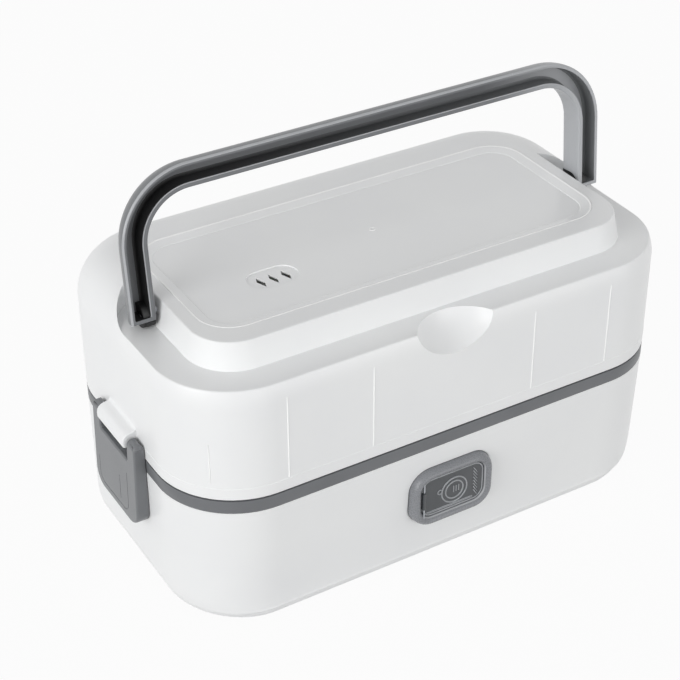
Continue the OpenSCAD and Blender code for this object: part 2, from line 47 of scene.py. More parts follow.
# The four corners of a plan, anticlockwise from the right rear
quarters = ((1, 1), (-1, 1), (-1, -1), (1, -1))


# Puts data into the scene as an object of its own
def addObject(name, data):
    thing = bpy.data.objects.new(name, data)
    bpy.context.scene.collection.objects.link(thing)
    return thing


# Camera, at the photograph's place

camera = {"place": (-0.33832, -0.54403, 0.50054), "right": (0.85987, -0.51052, 0.0),
          "up": (0.28237, 0.47559, 0.83311), "roll": -0.303, "lens": 90.03, "sensor": 36.0, "near": 0.01, "far": 20}

roll = math.radians(camera["roll"])
right, up = Vector(camera["right"]), Vector(camera["up"])
axisX = (right * math.cos(roll) + up * math.sin(roll)).normalized()
axisY = (up * math.cos(roll) - right * math.sin(roll)).normalized()
lens = bpy.data.cameras.new("photoCamera")
lens.lens, lens.sensor_width = camera["lens"], camera["sensor"]
lens.clip_start, lens.clip_end = camera["near"], camera["far"]
cameraObject = addObject("photoCamera", lens)
turned = Matrix((axisX, axisY, axisX.cross(axisY))).transposed().to_4x4()
cameraObject.matrix_world = Matrix.Translation(Vector(camera["place"])) @ turned
bpy.context.scene.camera = cameraObject
print("camera placed")


# Colour and node helpers

def linear(hexColour, alpha=1.0):
    rgb = [int(hexColour[i:i + 2], 16) / 255 for i in (1, 3, 5)]
    return [c / 12.92 if c <= 0.04045 else ((c + 0.055) / 1.055) ** 2.4 for c in rgb] + [alpha]


# Adds a node; an input may be a value or another node's output socket
def addNode(tree, kind, settings=None, inputs=None):
    node = tree.nodes.new(kind)
    for key, value in (settings or {}).items():
        setattr(node, key, value)
    for key, value in (inputs or {}).items():
        if isinstance(value, bpy.types.NodeSocket):
            tree.links.new(value, node.inputs[key])
        else:
            node.inputs[key].default_value = value
    return node


# A finish: two close tones over a wide noise, a fine grain in bump, and uneven gloss. The columns
# are name, tone, darker tone, roughness, and in millimetres the noise's width, the grain's width
# and its depth. Metals keep the shader's own IOR.
# across = (x0, x1, tone) lets the colour drift to another tone between two places along X.
def makeFinish(name, tone, darker, roughness, wideMm, grainMm, grainDepth, metallic=0.0, ior=1.53,
               streaks=None, shader=None, glossSpread=0.04, across=None):
    material = bpy.data.materials.new(name)
    material.use_nodes = True
    tree = material.node_tree
    tree.nodes.clear()
    place = addNode(tree, "ShaderNodeTexCoord").outputs["Object"]
    if streaks:
        place = addNode(tree, "ShaderNodeMapping", inputs={"Vector": place, "Scale": streaks}).outputs["Vector"]
    wide = addNode(tree, "ShaderNodeTexNoise", inputs={"Vector": place, "Scale": 1000 / wideMm, "Detail": 3.0})
    colour = addNode(tree, "ShaderNodeValToRGB", inputs={"Fac": wide.outputs["Fac"]})
    for stop, share, shade in zip(colour.color_ramp.elements, (0.3, 0.7), (darker, tone)):
        stop.position, stop.color = share, linear(shade)
    base = colour.outputs["Color"]
    if across:
        spot = addNode(tree, "ShaderNodeSeparateXYZ", inputs={"Vector": place})
        share = addNode(tree, "ShaderNodeMapRange", inputs={
            "Value": spot.outputs["X"], "From Min": across[0] * mm, "From Max": across[1] * mm})
        base = addNode(tree, "ShaderNodeMix", {"data_type": "RGBA"},
                       {0: share.outputs["Result"], 6: base, 7: linear(across[2])}).outputs[2]
    grain = addNode(tree, "ShaderNodeTexNoise",
                    inputs={"Vector": place, "Scale": 1000 / grainMm, "Detail": 2.0, "Roughness": 0.55})
    gloss = addNode(tree, "ShaderNodeMapRange", inputs={
        "Value": grain.outputs["Fac"], "From Min": 0.3, "From Max": 0.7,
        "To Min": max(0.02, roughness - glossSpread), "To Max": roughness + glossSpread})
    bump = addNode(tree, "ShaderNodeBump", inputs={
        "Height": grain.outputs["Fac"], "Strength": 0.35, "Distance": grainDepth * mm})
    surface = addNode(tree, "ShaderNodeBsdfPrincipled", inputs={
        "Base Color": base, "Roughness": gloss.outputs["Result"], "Metallic": metallic,
        "Normal": bump.outputs["Normal"]})
    if not metallic:
        surface.inputs["IOR"].default_value = ior
    for key, value in (shader or {}).items():
        surface.inputs[key].default_value = value
    addNode(tree, "ShaderNodeOutputMaterial", inputs={"Surface": surface.outputs["BSDF"]})
    return material


# White ABS from a satin mould: even, slightly cool white with soft broad highlights
whiteAbs = makeFinish("whiteAbsSatin", "#f1f2f2", "#edeeef", 0.34, 60, 0.9, 0.012)
# The lid's top panel comes from a polished mould: same plastic, clearer reflections
panelAbs = makeFinish("panelAbsPolished", "#f4f5f5", "#f0f1f2", 0.22, 60, 1.6, 0.008, glossSpread=0.02)
# Narrow raised lines of the white parts: polished and glossy, with a whiter colour painted on as their highlight so
# they read as bright lines
lineHighlightAbs = makeFinish("whiteAbsPolishedLine", "#fdfdfd", "#fafafa", 0.18, 60, 2.0, 0.004, glossSpread=0.02)
# Grey ABS with spark-eroded grain: mid grey, broad dull highlights, tiny sparkle
greyAbs = makeFinish("greyAbsGrained", "#6c6e71", "#67696c", 0.42, 20, 0.45, 0.03)
# The latches are a finer grained, slightly lighter grey
latchAbs = makeFinish("greyAbsFine", "#737578", "#6d6f72", 0.34, 26, 0.5, 0.02)
# The inlet's surround is a little glossier and paler
surroundAbs = makeFinish("greyAbsSurround", "#84868a", "#7d7f83", 0.28, 16, 0.5, 0.02)
# The handle is the latches' plastic; painted highlight: its colour drifts paler towards the right leg, for the
# light on that leg's inner face
handleAbs = makeFinish("greyAbsHandle", "#737578", "#6d6f72", 0.34, 26, 0.5, 0.02, across=(60, 105, "#b0b2b5"))
# Painted highlight: rounded edges that face the light take this paler, glossier finish and read as a pale line
edgeHighlightAbs = makeFinish("greyAbsRubbedEdge", "#b0b2b5", "#a8aaad", 0.24, 10, 0.9, 0.006)
# Painted shade inside the handle's channel: nearly black in the left leg, greyer to the right; the grain is coarse
# and matt
channelShadeAbs = makeFinish("greyAbsDeepGrain", "#1b1b1c", "#171718", 0.6, 12, 0.5, 0.05, across=(-95, 110, "#77797b"))
# Tinted polycarbonate of the inlet's cover: smoky, smooth, lets a little of the socket through
smokyCarbonate = makeFinish("smokyPolycarbonate", "#56595d", "#4d5155", 0.12, 9, 1.2, 0.02, ior=1.585,
                            shader={"Transmission Weight": 0.3}, glossSpread=0.03)
# The raised rings and ribs of that cover catch the light and read paler
paleCarbonate = makeFinish("palePolycarbonate", "#b4b7bb", "#a4a7ab", 0.14, 6, 1.0, 0.01, ior=1.585,
                           shader={"Transmission Weight": 0.2})
# Black ABS of the handle's pivots and the socket: deep, dull
blackAbs = makeFinish("blackAbs", "#101112", "#0c0d0e", 0.5, 35, 0.5, 0.02)
# Moulded rubber feet: soft black with powdery bloom
footRubber = makeFinish("mouldedRubber", "#222325", "#191a1b", 0.72, 4, 0.35, 0.04, ior=1.52)
# Dark grey ABS underside plate, coarser grain
undersideAbs = makeFinish("undersideAbs", "#56585b", "#4e5053", 0.5, 18, 0.7, 0.03)
# Silicone seals and plug: milky, slightly waxy
sealSilicone = makeFinish("sealSilicone", "#dedfdf", "#d3d5d5", 0.45, 8, 0.8, 0.01, ior=1.41,
                          shader={"Subsurface Weight": 0.2, "Subsurface Scale": 0.002})
plugSilicone = makeFinish("plugSilicone", "#8f9296", "#85888c", 0.5, 5, 0.6, 0.01, ior=1.41)
# Polypropylene tray and container lid: warm translucent white, faint sheen
trayPolypropylene = makeFinish("trayPolypropylene", "#f0f0ec", "#eaeae5", 0.4, 40, 1.2, 0.015, ior=1.49,
                               shader={"Subsurface Weight": 0.1, "Subsurface Scale": 0.003})
# Deep-drawn food steel, brushed along its length
foodSteel = makeFinish("brushedFoodSteel", "#c9cacb", "#c2c4c6", 0.28, 3, 0.3, 0.002, metallic=1.0,
                       streaks=(0.03, 1.0, 1.0), glossSpread=0.03)
# Pressed aluminium of the heating tub: paler and duller than the steel
tubAluminium = makeFinish("pressedAluminium", "#d3d4d5", "#c4c6c8", 0.42, 7, 0.7, 0.02, metallic=1.0)
# Zinc-plated screws and pins: small bright metal
zincSteel = makeFinish("zincPlatedSteel", "#b9bcc0", "#a4a7ac", 0.3, 2, 0.3, 0.01, metallic=1.0)
# Brass pins of the inlet
pinBrass = makeFinish("pinBrass", "#d8b86a", "#c6a457", 0.28, 2, 0.3, 0.01, metallic=1.0)
# Fired ceramic of the heater: chalky, buff
heaterCeramic = makeFinish("heaterCeramic", "#d9cdb8", "#cbbda5", 0.75, 5, 0.4, 0.03, ior=1.6)
# Woven glass pad and glass-fibre wire sleeve
padFibre = makeFinish("padGlassFibre", "#e3dcc9", "#d2cab4", 0.85, 3, 0.5, 0.08, ior=1.5)
wireSleeve = makeFinish("wireSleeveRed", "#9d2d2a", "#852422", 0.6, 2, 0.4, 0.04, ior=1.5)
# Phenolic thermostat body
phenolic = makeFinish("phenolicBrown", "#5b3a28", "#4c2f20", 0.4, 4, 0.5, 0.02, ior=1.6)
print("finishes made:", len(bpy.data.materials))


# Mesh helpers

def makePiece(name, verts, faces, finish=None):
    mesh = bpy.data.meshes.new(name)
    mesh.from_pydata([(x * mm, y * mm, z * mm) for x, y, z in verts], [], faces)
    work = bmesh.new()
    work.from_mesh(mesh)
    bmesh.ops.recalc_face_normals(work, faces=work.faces)
    work.to_mesh(mesh)
    work.free()
    if finish:
        mesh.materials.append(finish)
    return addObject(name, mesh)


# Points round the four corner centres with their outward directions, anticlockwise
def planPath(core, steps=cornerSteps, centre=(0.0, 0.0)):
    path = []
    for k, (sx, sy) in enumerate(quarters):
        for i in range(steps + 1):
            a = math.pi / 2 * (k + i / steps)
            path.append((centre[0] + sx * core[0], centre[1] + sy * core[1], math.cos(a), math.sin(a)))
    return path


# Carries a section (radius, height) round such a path; the section may change with the direction
def ringBody(name, path, section, closed=True, finish=None):
    rows = [section(dx, dy) for _, _, dx, dy in path]
    n, m = len(path), len(rows[0])
    verts = [(x + dx * r, y + dy * r, z) for (x, y, dx, dy), row in zip(path, rows) for r, z in row]
    faces = []
    for i in range(n):
        j = (i + 1) % n
        for k in range(m if closed else m - 1):
            q = (k + 1) % m
            faces.append((i * m + k, j * m + k, j * m + q, i * m + q))
    if not closed:
        faces.append([i * m for i in range(n)][::-1])
        faces.append([i * m + m - 1 for i in range(n)])
    return makePiece(name, verts, faces, finish)


# Extrudes a flat outline; place turns (u, v, depth) into a point
def prism(name, outline, low, high, place, finish=None):
    n = len(outline)
    verts = [place(u, v, low) for u, v in outline] + [place(u, v, high) for u, v in outline]
    faces = [list(range(n)), list(range(2 * n - 1, n - 1, -1))]
    faces += [(i, (i + 1) % n, n + (i + 1) % n, n + i) for i in range(n)]
    return makePiece(name, verts, faces, finish)


def sideView(u, v, d):       # outline in X and Z, depth along Y
    return (u, d, v)


def endView(u, v, d):        # outline in Y and Z, depth along X
    return (d, u, v)


def topView(u, v, d):        # outline in X and Y, depth along Z
    return (u, v, d)


def arcPoints(cx, cy, rx, ry, a0, a1, steps):
    turns = [math.radians(a0 + (a1 - a0) * i / steps) for i in range(steps + 1)]
    return [(cx + rx * math.cos(a), cy + ry * math.sin(a)) for a in turns]


def roundedOutline(hx, hy, r, steps=10, cx=0.0, cy=0.0):
    points = []
    for k, (sx, sy) in enumerate(quarters):
        points += arcPoints(cx + sx * (hx - r), cy + sy * (hy - r), r, r, 90 * k, 90 * k + 90, steps)
    return points


def rectangle(low, high, base, top):
    return [(low, base), (high, base), (high, top), (low, top)]


# The faces between stacked rings of points
def ringFaces(rings, cols):
    return [(i * cols + j, i * cols + (j + 1) % cols, (i + 1) * cols + (j + 1) % cols, (i + 1) * cols + j)
            for i in range(rings - 1) for j in range(cols)]


def ball(name, centre, radius, rings=48):
    verts, cols = [], rings * 2
    for i in range(1, rings):
        a = math.pi * i / rings
        verts += [(centre[0] + radius * math.sin(a) * math.cos(math.tau * j / cols),
                   centre[1] + radius * math.sin(a) * math.sin(math.tau * j / cols),
                   centre[2] + radius * math.cos(a)) for j in range(cols)]
    top, low = len(verts), len(verts) + 1
    verts += [(centre[0], centre[1], centre[2] + radius), (centre[0], centre[1], centre[2] - radius)]
    last = (rings - 2) * cols
    faces = ringFaces(rings - 1, cols) + [(top, (j + 1) % cols, j) for j in range(cols)]
    faces += [(low, last + j, last + (j + 1) % cols) for j in range(cols)]
    return makePiece(name, verts, faces)


# Turns what the modifiers make into the piece's own plain mesh
def settle(piece):
    graph = bpy.context.evaluated_depsgraph_get()
    mesh = bpy.data.meshes.new_from_object(piece.evaluated_get(graph), preserve_all_data_layers=True,
                                           depsgraph=graph)
    mesh.name = piece.name
    if piece.type == "CURVE":
        name = piece.name
        bpy.data.objects.remove(piece)
        return addObject(name, mesh)
    piece.modifiers.clear()
    piece.data = mesh
    return piece


def combine(piece, other, operation):
    change = piece.modifiers.new("combine", "BOOLEAN")
    change.operation, change.solver, change.object = operation, "MANIFOLD", other
    settle(piece)
    bpy.data.objects.remove(other)


def cut(piece, *tools):
    for tool in tools:
        combine(piece, tool, "DIFFERENCE")


def join(piece, *others):
    for other in others:
        combine(piece, other, "UNION")


# Merges flat triangles and rounds the edges sharper than the angle
def roundEdges(piece, width, angle=28.0, segments=3, flat=0.2):
    work = bmesh.new()
    work.from_mesh(piece.data)
    bmesh.ops.remove_doubles(work, verts=work.verts, dist=0.002 * mm)
    bmesh.ops.dissolve_limit(work, angle_limit=math.radians(flat), verts=work.verts, edges=work.edges)
    bmesh.ops.delete(work, geom=[e for e in work.edges if not e.link_faces], context="EDGES")
    work.to_mesh(piece.data)
    work.free()
    if width:
        edge = piece.modifiers.new("edge", "BEVEL")
        edge.width, edge.segments, edge.limit_method = width * mm, segments, "ANGLE"
        edge.angle_limit, edge.use_clamp_overlap = math.radians(angle), False
        edge.miter_outer = "MITER_ARC"
        settle(piece)
    return piece


# The same, shaded smooth with flat faces kept flat
def soften(piece, width, angle=28.0, segments=3, flat=0.2, sharp=40.0):
    roundEdges(piece, width, angle, segments, flat)
    piece.data.shade_smooth()
    piece.data.set_sharp_from_angle(angle=math.radians(sharp))
    even = piece.modifiers.new("even", "WEIGHTED_NORMAL")
    even.keep_sharp, even.weight = True, 50
    return settle(piece)


# Gives another finish to the faces whose centre, in millimetres, passes the test
def dress(piece, finish, belongs):
    piece.data.materials.append(finish)
    index = len(piece.data.materials) - 1
    for face in piece.data.polygons:
        if belongs(*(v / mm for v in face.center)):
            face.material_index = index


def ridesOn(piece, body, slot, *replaced):
    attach(piece, body)
    if replaced:
        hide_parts(*replaced)
    return piece


# Starts a Geometry Nodes group; the inputs that it gets are named here
def startTree(name, sockets):
    tree = bpy.data.node_groups.new(name, "GeometryNodeTree")
    for title, kind in {"Geometry": "Geometry", **sockets, "Finish": "Material"}.items():
        tree.interface.new_socket(title, in_out="INPUT", socket_type="NodeSocket" + kind)
    tree.interface.new_socket("Geometry", in_out="OUTPUT", socket_type="NodeSocketGeometry")
    return tree, addNode(tree, "NodeGroupInput").outputs


# Ends it with plain geometry in its finish
def endTree(tree, geometry, finish):
    plain = addNode(tree, "GeometryNodeRealizeInstances", inputs={"Geometry": geometry})
    dressed = addNode(tree, "GeometryNodeSetMaterial",
                      inputs={"Geometry": plain.outputs["Geometry"], "Material": finish})
    addNode(tree, "NodeGroupOutput", inputs={"Geometry": dressed.outputs["Geometry"]})
    return tree


# A closed section carried along a path whose corners are rounded
def makePathTree():
    tree, given = startTree("sectionAlongPath", {"Bend Radius": "Float", "Bend Steps": "Int", "Section": "Object",
                                                 "Plane Normal": "Vector"})
    bent = addNode(tree, "GeometryNodeFilletCurve", {"mode": "POLY"},
                   {"Curve": given["Geometry"], "Radius": given["Bend Radius"], "Count": given["Bend Steps"]})
    level = addNode(tree, "GeometryNodeSetCurveNormal", {"mode": "FREE"},
                    {"Curve": bent.outputs["Curve"], "Normal": given["Plane Normal"]})
    section = addNode(tree, "GeometryNodeObjectInfo", inputs={"Object": given["Section"]})
    swept = addNode(tree, "GeometryNodeCurveToMesh",
                    inputs={"Curve": level.outputs["Curve"], "Profile Curve": section.outputs["Geometry"],
                            "Fill Caps": True})
    return endTree(tree, swept.outputs["Mesh"], given["Finish"])


# Copies of one small shape on the points of a mesh
def makeCopiesTree():
    tree, given = startTree("shapeOnPoints", {"Shape": "Object"})
    shape = addNode(tree, "GeometryNodeObjectInfo", inputs={"Object": given["Shape"], "As Instance": True})
    copies = addNode(tree, "GeometryNodeInstanceOnPoints",
                     inputs={"Points": given["Geometry"], "Instance": shape.outputs["Geometry"]})
    return endTree(tree, copies.outputs["Instances"], given["Finish"])


pathTree = makePathTree()
copiesTree = makeCopiesTree()


def setInputs(piece, tree, values):
    growth = piece.modifiers.new(tree.name, "NODES")
    growth.node_group = tree
    keys = {item.name: item.identifier for item in tree.interface.items_tree if item.in_out == "INPUT"}
    for name, value in values.items():
        growth[keys[name]] = value
    return piece


def polyline(name, points, cyclic):
    curve = bpy.data.curves.new(name, "CURVE")
    curve.dimensions = "3D"
    spline = curve.splines.new("POLY")
    spline.points.add(len(points) - 1)
    for knot, (x, y, z) in zip(spline.points, points):
        knot.co = (x * mm, y * mm, z * mm, 1)
    spline.use_cyclic_u = cyclic
    return addObject(name, curve)


# Carries a section along a path; its points are (along the plane's normal, outward from the path)
def alongPath(name, path, section, bend, steps, normal, finish, cyclic=True, sharp=32.0):
    line = polyline(name, path, cyclic)
    profile = polyline(name + ".section", [(a, b, 0) for a, b in section], True)
    setInputs(line, pathTree, {"Bend Radius": bend * mm, "Bend Steps": steps, "Section": profile,
                               "Plane Normal": normal, "Finish": finish})
    solid = settle(line)
    bpy.data.objects.remove(profile)
    work = bmesh.new()
    work.from_mesh(solid.data)
    bmesh.ops.recalc_face_normals(work, faces=work.faces)
    if work.calc_volume(signed=True) < 0:
        bmesh.ops.reverse_faces(work, faces=work.faces)
    work.to_mesh(solid.data)
    work.free()
    solid.data.shade_smooth()
    solid.data.set_sharp_from_angle(angle=math.radians(sharp))
    return solid


# Copies a small shape to each point; the shape itself is used up
def onPoints(name, points, shape, finish):
    mesh = bpy.data.meshes.new(name)
    mesh.from_pydata([(x * mm, y * mm, z * mm) for x, y, z in points], [], [])
    piece = setInputs(addObject(name, mesh), copiesTree, {"Shape": shape, "Finish": finish})
    settle(piece)
    bpy.data.objects.remove(shape)
    return piece


# Sharpened corners of a section are cut to small arcs; points are (a, b), radius in mm
def eased(points, radius, steps=3):
    out = []
    n = len(points)
    for i in range(n):
        o = Vector(points[i])
        a, b = Vector(points[i - 1]) - o, Vector(points[(i + 1) % n]) - o
        reach = min(radius, a.length * 0.45, b.length * 0.45)
        start, end = o + a.normalized() * reach, o + b.normalized() * reach
        for k in range(steps + 1):
            t = k / steps
            out.append(tuple((1 - t) ** 2 * start + 2 * t * (1 - t) * o + t * t * end))
    return out


# Lower shell: upright ends with an oval bottom edge, a front and back that lean in

lower = {"top": 62.5, "bottom": 0.8, "radius": 36.7, "wall": 2.4,
         "end": {"lean": 0.0, "across": 9.0, "rise": 12.2}, "side": {"lean": 3.3, "across": 2.4, "rise": 15.4},
         "window": (17.9, 11.7, 7.5), "windowHeight": 36.8,
         "seam": {"halfX": 20.9, "halfZ": 14.7, "radius": 10.0, "face": -66.67, "lean": 0.0715, "deep": 0.8,
                  "wide": 0.35}, "edge": 0.35, "footHole": (17.0, 20.0, 22.0, 2.2),
         "ridge": (118.0, 122.9, 47.0, 50.0, 12.0),
         "screws": ((96.3, 43.1), (-96.3, 43.1), (96.3, -43.1), (-96.3, -43.1), (0, 47.8), (0, -47.8))}


def lowerWall(face, inset, steps=14):
    r0, low = lower["radius"] - inset, lower["bottom"] + inset
    across, rise = face["across"], face["rise"]
    rows = [(r0 - face["lean"] * t, lower["top"] + (low + rise - lower["top"]) * t)
            for t in (0, 0.2, 0.5, 0.8, 0.97)]
    rows += [(r0 - face["lean"] - across * (1 - math.cos(a)), low + rise * (1 - math.sin(a)))
             for a in [math.pi / 2 * i / steps for i in range(steps + 1)]]
    return rows


# The long walls end in a fine raised line above an undercut foot; the ends stay oval
# (rows are the distance in from the top's outline, and the height)
sideDrop = [(0, 62.5), (0.66, 53.2), (1.65, 39.4), (2.64, 25.5), (3.3, 16.2), (3.5, 10.5), (3.8, 6.4), (3.45, 5.7),
            (3.42, 5.0), (3.9, 4.5), (4.2, 3.6), (4.6, 2.6), (5.1, 1.6), (5.4, 1.1), (5.7, 0.8)]
oval = lower["end"]
endDrop = [(0, 62.5), (0, 50), (0, 35), (0, 20), (0, 13.0)] + [
    (oval["across"] * (1 - math.cos(a)), lower["bottom"] + oval["rise"] * (1 - math.sin(a)))
    for a in [math.radians(9 * i) for i in range(1, 11)]]


def mixed(one, two, share):
    return [(a[0] * share + b[0] * (1 - share), a[1] * share + b[1] * (1 - share)) for a, b in zip(one, two)]


# Round a corner the section turns from the side's into the end's
def lowerSection(dx, dy):
    ends = dx * dx
    outer = [(lower["radius"] - x, z) for x, z in mixed(endDrop, sideDrop, ends)]
    inner = mixed(lowerWall(lower["end"], lower["wall"]), lowerWall(lower["side"], lower["wall"]), ends)
    floor, edge = lower["bottom"] + lower["wall"], lower["edge"]
    top = [(outer[0][0] - edge, lower["top"]), (outer[0][0], lower["top"] - edge)]
    r0, r1, r2, high = lower["footHole"]
    hole = [(r1, lower["bottom"]), (r1, floor), (r0, floor), (r0, floor + high), (r2, floor + high), (r2, floor)]
    return top + outer[1:] + hole + inner[:0:-1] + [(inner[0][0], lower["top"])]


lowerShell = ringBody("lowerShell", planPath(shellCore), lowerSection, finish=whiteAbs)
window = [(u, v + lower["windowHeight"]) for u, v in roundedOutline(*lower["window"], steps=8)]
cut(lowerShell, prism("window", window, -90, -56.5, sideView))
x0, x1, z0, z1, halfRidge = lower["ridge"]
for side in (-1, 1):
    join(lowerShell, prism("ridge", rectangle(-halfRidge, halfRidge, z0, z1), side * (x0 + 2), side * x1, endView))
# a thin dark joint runs round the inlet's surround, on the leaning front
seam = lower["seam"]
seamPath = [(sx * seam["halfX"], seam["face"], lower["windowHeight"] + sz * seam["halfZ"])
            for sx, sz in ((-1, -1), (-1, 1), (1, 1), (1, -1))]
joint = alongPath("joint", seamPath, rectangle(-3.0, seam["deep"], -0.6, seam["wide"]), seam["radius"], 10,
                  (0, 1, 0), whiteAbs)
leaning = Matrix.Identity(4)
leaning[1][2], leaning[1][3] = -seam["lean"], seam["lean"] * lower["windowHeight"] * mm
joint.data.transform(leaning)
cut(lowerShell, joint)
soften(lowerShell, 0.0)
ridesOn(lowerShell, "base", "white_shell", "base_shell")
print("lower shell:", len(lowerShell.data.polygons), "faces")


# Grey band and the lip that the lid slides over: one section carried round the box

band = {"low": 62.5, "high": 69.5, "radius": 36.7, "lip": 33.8, "inner": 32.2, "lipTop": 73.0, "halfX": 121.7,
        "halfY": 68.5, "rebate": (0.8, 1.1)}

# a small rebate under the lid's edge keeps a dark line there
drop, inward = band["rebate"]
lipOut, innerOut = band["lip"] - band["radius"], band["inner"] - band["radius"]
bandSection = eased([(band["low"], innerOut), (band["low"], 0.0), (band["high"] - drop, 0.0),
                     (band["high"] - drop, -inward), (band["high"], -inward), (band["high"], lipOut),
                     (band["lipTop"], lipOut), (band["lipTop"], innerOut)], 0.3, 2)
bandPath = [(sx * band["halfX"], sy * band["halfY"], 0) for sx, sy in quarters]
bandRing = alongPath("bandRing", bandPath, bandSection, band["radius"], cornerSteps, (0, 0, 1), greyAbs)
ridesOn(bandRing, "base", "grey_plastic", "band_ring")
print("band ring:", len(bandRing.data.polygons), "faces")


# Upper shell: a domed lid with a ledge cut round a raised middle

lid = {"low": 69.6, "radius": 36.7, "shoulder": 20.0, "top": 133.7, "wall": 2.4, "ledge": 121.7,
       "islandX": 106.0, "islandFront": 53.4, "islandBack": 46.0, "islandR": 21.5, "islandSlant": 2.8,
       "islandEdge": (0.5, 0.8), "pinR": 2.02, "latchPinR": 1.42,
       "pocketY": -4.0, "pocketR": 24.0, "scoop": (0, -76.6, 128.8), "scoopR": 22.2,
       "panel": (97.4, 40.0, 16.2), "panelY": -1.0, "recess": 130.9, "roof": 128.7, "pivot": (-3.1, 127.8),
       "pivotX": (97.5, 106.5), "latchPin": (124.9, 74.5), "pocketX": 96.0, "ledgeEdge": 0.55,
       "vent": (-54.6, -11.6), "ventHole": (9.5, 5, 2), "knuckleHalf": 13.2,
       "knuckle": ((119.5, 72.3), (127.2, 72.3), (127.9, 72.6), (128.2, 73.3), (128.2, 75.4), (127.9, 76.9),
                   (127.1, 78.1), (125.9, 78.9), (124.4, 79.3), (122.9, 79.6), (122.2, 80.1), (121.8, 80.9),
                   (121.6, 82.0), (119.5, 82.0))}


# The wall and domed shoulder as rows of (radius, height), from low up to the top or to high
def lidSection(inset, low, high=None):
    shoulder = lid["shoulder"]
    coreR, coreZ, bend = lid["radius"] - shoulder, lid["top"] - shoulder, shoulder - inset
    rows = [(coreR + bend, z) for z in (low, 84.0, 107.0)] + arcPoints(coreR, coreZ, bend, bend, 0, 90, 22)
    rows = [row for row in rows if row[1] >= low]
    if high:
        rows = [row for row in rows if row[1] < high - 0.4]
        rows.append((coreR + math.sqrt(bend ** 2 - (high - coreZ) ** 2), high))
    return lambda dx, dy: rows


# The raised middle: its flank leans in from the ledge to a small rounded edge
def islandBody(name, inset, low, high, slant):
    halfY = (lid["islandFront"] + lid["islandBack"]) / 2
    centreY = (lid["islandBack"] - lid["islandFront"]) / 2
    r = lid["islandR"]
    path = planPath((lid["islandX"] - r, halfY - r), 16, (0, centreY))
    rows = [(r - inset, low), (r - inset, high)]
    if slant:
        lean = math.degrees(math.atan2(slant, high - lid["ledge"]))
        back, edge = lid["islandEdge"]
        rows = ([(r - inset, low), (r - inset, lid["ledge"])]
                + arcPoints(r - inset - slant - back, high - edge, edge, edge, lean, 90, 5))
    return ringBody(name, path, lambda dx, dy: rows, closed=False)


# What the ledge clears: all in front of the pivots, and a round pocket about each
def ledgeSpace(inset):
    low, pocketR = lid["ledge"] - inset, lid["pocketR"] + inset
    front = prism("space", rectangle(-200, 200, -200, lid["pocketY"] + inset), low, 200, topView)
    for side in (-1, 1):
        ring = arcPoints(side * lid["pocketX"], lid["pocketY"], pocketR, pocketR, 0, 357, 119)
        join(front, prism("pocket", ring, low, 200, topView))
    return front


# Rounds the outward edges whose ends both pass the test (a point in millimetres)
def roundWhere(piece, width, belongs):
    work = bmesh.new()
    work.from_mesh(piece.data)
    bmesh.ops.remove_doubles(work, verts=work.verts, dist=0.002 * mm)
    bmesh.ops.dissolve_limit(work, angle_limit=math.radians(0.2), verts=work.verts, edges=work.edges)
    chosen = [e for e in work.edges if len(e.link_faces) == 2 and e.is_convex
              and e.calc_face_angle(0) > math.radians(16) and all(belongs(v.co / mm) for v in e.verts)]
    bmesh.ops.bevel(work, geom=chosen, offset=width * mm, segments=3, profile=0.5, affect="EDGES",
                    clamp_overlap=False)
    work.to_mesh(piece.data)
    work.free()


upperShell = ringBody("upperShell", planPath(shellCore), lidSection(0, lid["low"]), closed=False, finish=whiteAbs)
cut(upperShell, ledgeSpace(0.0))
join(upperShell, islandBody("island", 0, lid["ledge"] - 5, lid["top"], lid["islandSlant"]))
roundWhere(upperShell, lid["ledgeEdge"], lambda p: abs(p.z - lid["ledge"]) < 0.02)
for side in (-1, 1):
    knuckle = prism("knuckle", [(side * x, z) for x, z in lid["knuckle"]], -lid["knuckleHalf"], lid["knuckleHalf"],
                    sideView)
    join(upperShell, roundEdges(knuckle, 0.6, angle=30))
lowHollow = ringBody("lowHollow", planPath(shellCore),
                     lidSection(lid["wall"], 60, lid["ledge"] - lid["wall"]), closed=False)
highHollow = ringBody("highHollow", planPath(shellCore),
                      lidSection(lid["wall"], 110, lid["roof"]), closed=False)
cut(highHollow, ledgeSpace(lid["wall"]))
join(lowHollow, highHollow)
join(lowHollow, islandBody("islandHollow", lid["wall"], lid["ledge"] - lid["wall"] - 1, lid["roof"], 0))
cut(lowHollow, ball("scoopWall", lid["scoop"], lid["scoopR"] + lid["wall"]))
cut(upperShell, lowHollow, ball("scoop", lid["scoop"], lid["scoopR"], rings=84))
recess = roundedOutline(*lid["panel"], steps=12, cy=lid["panelY"])
cut(upperShell, prism("recess", recess, lid["recess"], 140, topView),
    prism("ventHole", roundedOutline(*lid["ventHole"], 4, *lid["vent"]), 110, 140, topView))
pinRing = arcPoints(*lid["pivot"], lid["pinR"], lid["pinR"], 0, 345, 23)
pinX, pinZ = lid["latchPin"]
pinR = lid["latchPinR"]
for side in (-1, 1):
    cut(upperShell, prism("pinBore", pinRing, *(side * x for x in lid["pivotX"]), endView))
    latchBore = arcPoints(side * pinX, pinZ, pinR, pinR, 0, 345, 23)
    cut(upperShell, prism("latchBore", latchBore, -25, 25, sideView))
soften(upperShell, 0.0)
ridesOn(upperShell, "lid", "white_shell", "upper_shell")
print("upper shell:", len(upperShell.data.polygons), "faces")


# Top panel: a raised rim, a sloping strip and a flat polished field with the steam vent

panel = {"core": (81.2, 23.8), "y": -1.0, "low": 130.95, "face": 132.3, "rimLow": 133.4,
         "ventSize": (11.5, 7.0, 6.9), "ventDeep": 0.6, "slotPitch": 5.9,
         "slot": ((-0.3, 3.45), (1.6, -1.45), (0.4, -4.85), (-1.5, 0.05)), "gate": (1.5, 0.3), "gateR": 1.5}

